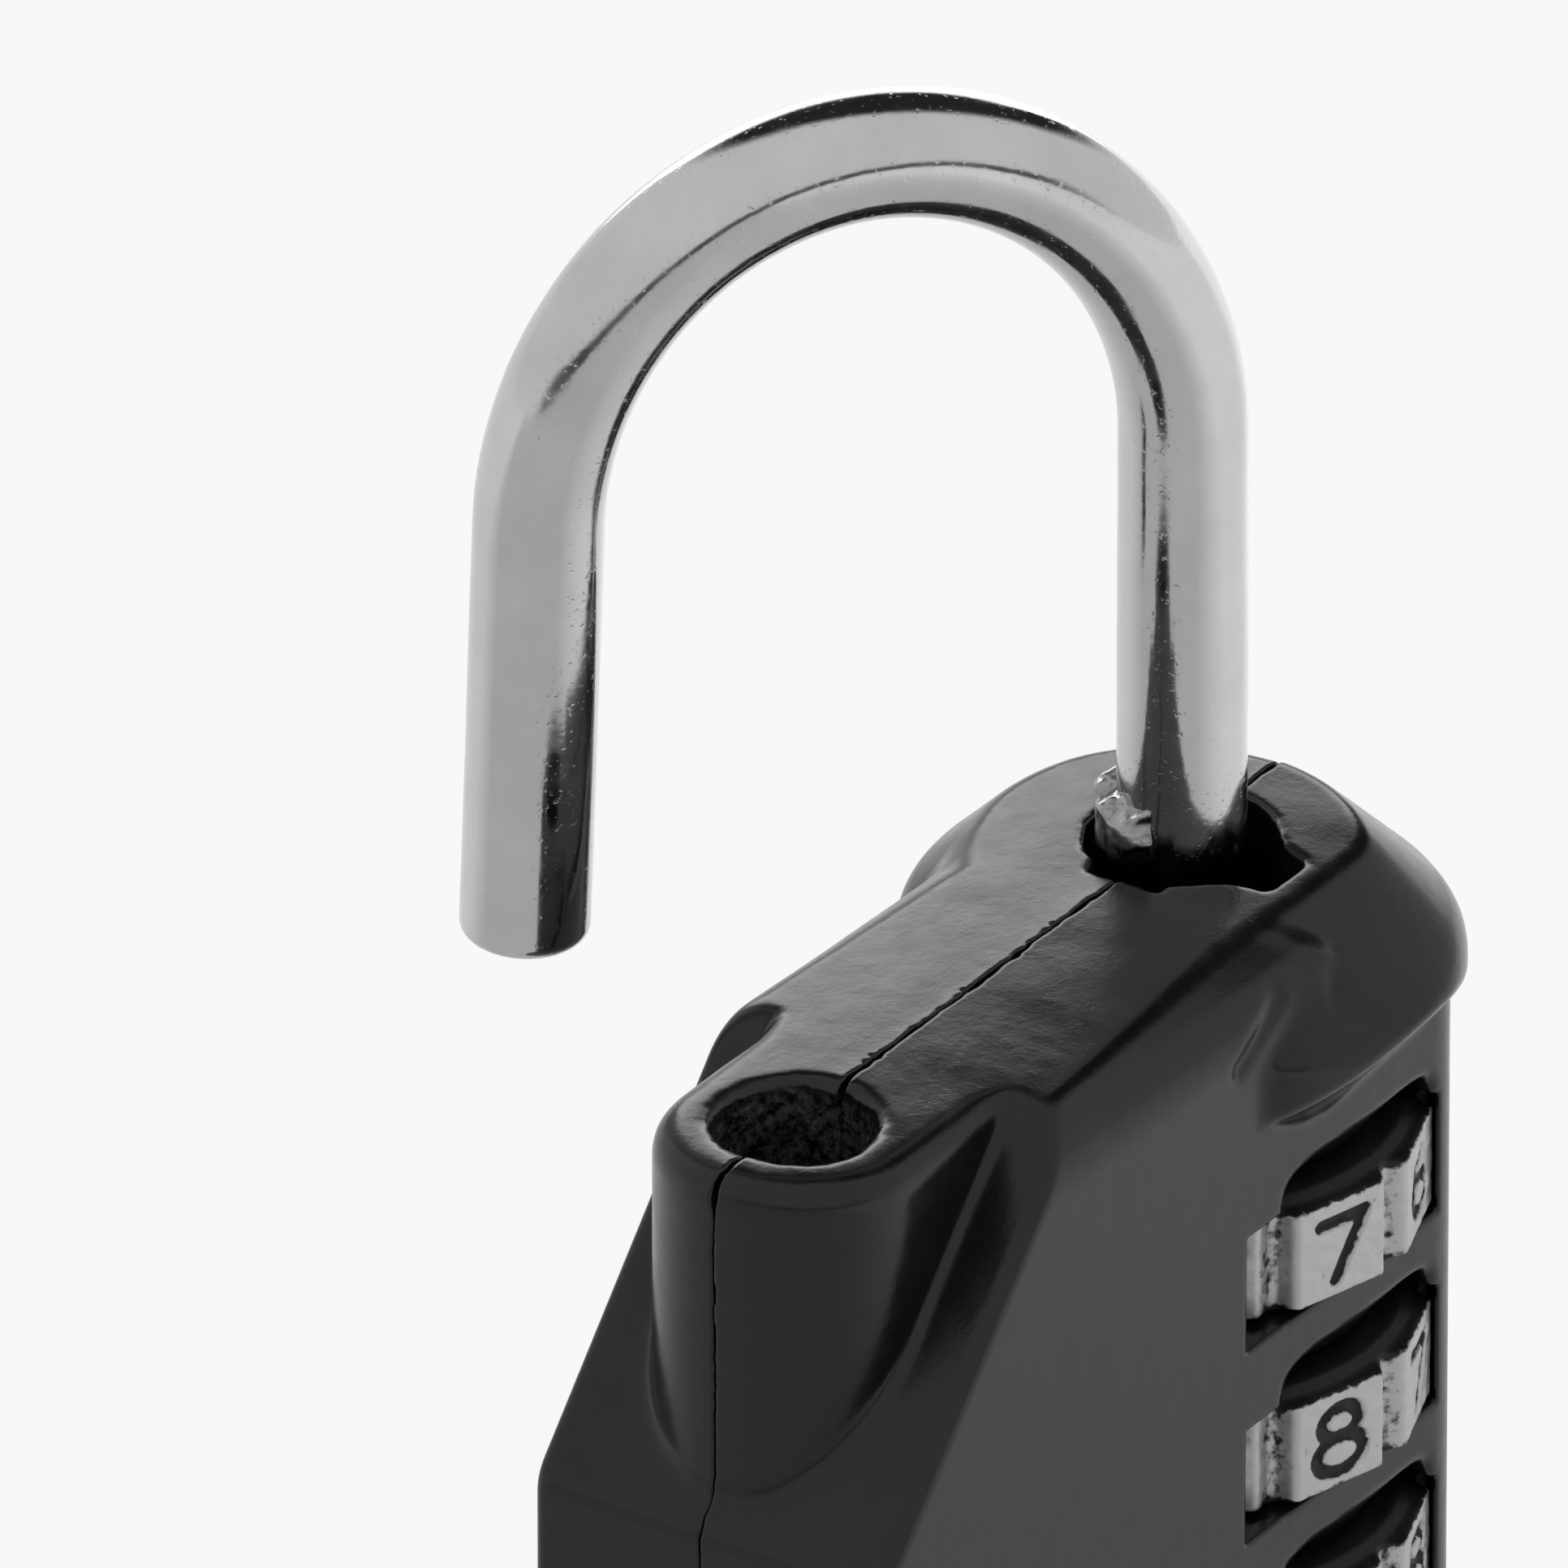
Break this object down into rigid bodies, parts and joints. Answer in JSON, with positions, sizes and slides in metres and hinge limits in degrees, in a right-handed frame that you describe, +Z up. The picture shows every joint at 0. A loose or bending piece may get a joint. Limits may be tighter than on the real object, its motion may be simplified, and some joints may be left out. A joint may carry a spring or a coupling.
{
  "type": "combination padlock",
  "caption": "Combination padlock with a cast body in two halves, a column of number dials on one side, and a steel shackle that lifts and swings open.",
  "frame": {"origin": "centre of the flat bottom face, midway between the two shackle legs' holes and on the plane where the housing halves meet", "axes": "+Z up towards the shackle, +X towards the dials and the long leg, -Y is the front where the dials show"},
  "size_m": [0.0521, 0.0352, 0.1011],
  "materials": {
    "body_paint": "semi-gloss black paint",
    "shackle_chrome": "polished",
    "dial": "black with silver number plates",
    "sleeve_brass": "turned",
    "steel": "turned",
    "spring_steel": "drawn wire and strip"
  },
  "bodies": {
    "case": {"front_housing": "body_paint", "rear_housing": "body_paint", "assembly_pins": "steel", "stack_washer": "steel", "reset_spring": "spring_steel", "detent_leaf_1": "spring_steel", "detent_leaf_2": "spring_steel", "detent_leaf_3": "spring_steel", "detent_leaf_4": "spring_steel"},
    "lifter": {"spring_cap": "steel", "shackle_spring": "spring_steel"},
    "shackle": {"shackle": "shackle_chrome"},
    "dial_1": {"dial_wheel_1": "dial", "code_sleeve_1": "sleeve_brass"},
    "dial_2": {"dial_wheel_2": "dial", "code_sleeve_2": "sleeve_brass"},
    "dial_3": {"dial_wheel_3": "dial", "code_sleeve_3": "sleeve_brass"},
    "dial_4": {"dial_wheel_4": "dial", "code_sleeve_4": "sleeve_brass"}
  },
  "joints": [
    {"name": "shackle_lift", "type": "slide", "parent": "case", "child": "lifter", "axis": [0, 0, 1], "range_m": [-0.0102, 0], "stiffness_N_per_m": 200, "springref_m": 0.008, "deforming": ["shackle_spring"]},
    {"name": "shackle_swing", "type": "hinge", "parent": "lifter", "child": "shackle", "pos_m": [0.01565, 0, 0.06], "axis": [0, 0, -1], "range_deg": [-37.4, 142.6]},
    {"name": "dial_1_spin", "type": "hinge", "parent": "case", "child": "dial_1", "pos_m": [0.01565, 0, 0.0431], "axis": [0, 0, 1], "continuous": true},
    {"name": "dial_2_spin", "type": "hinge", "parent": "case", "child": "dial_2", "pos_m": [0.01565, 0, 0.0329], "axis": [0, 0, 1], "continuous": true},
    {"name": "dial_3_spin", "type": "hinge", "parent": "case", "child": "dial_3", "pos_m": [0.01565, 0, 0.0227], "axis": [0, 0, 1], "continuous": true},
    {"name": "dial_4_spin", "type": "hinge", "parent": "case", "child": "dial_4", "pos_m": [0.01565, 0, 0.0125], "axis": [0, 0, 1], "continuous": true}
  ]
}
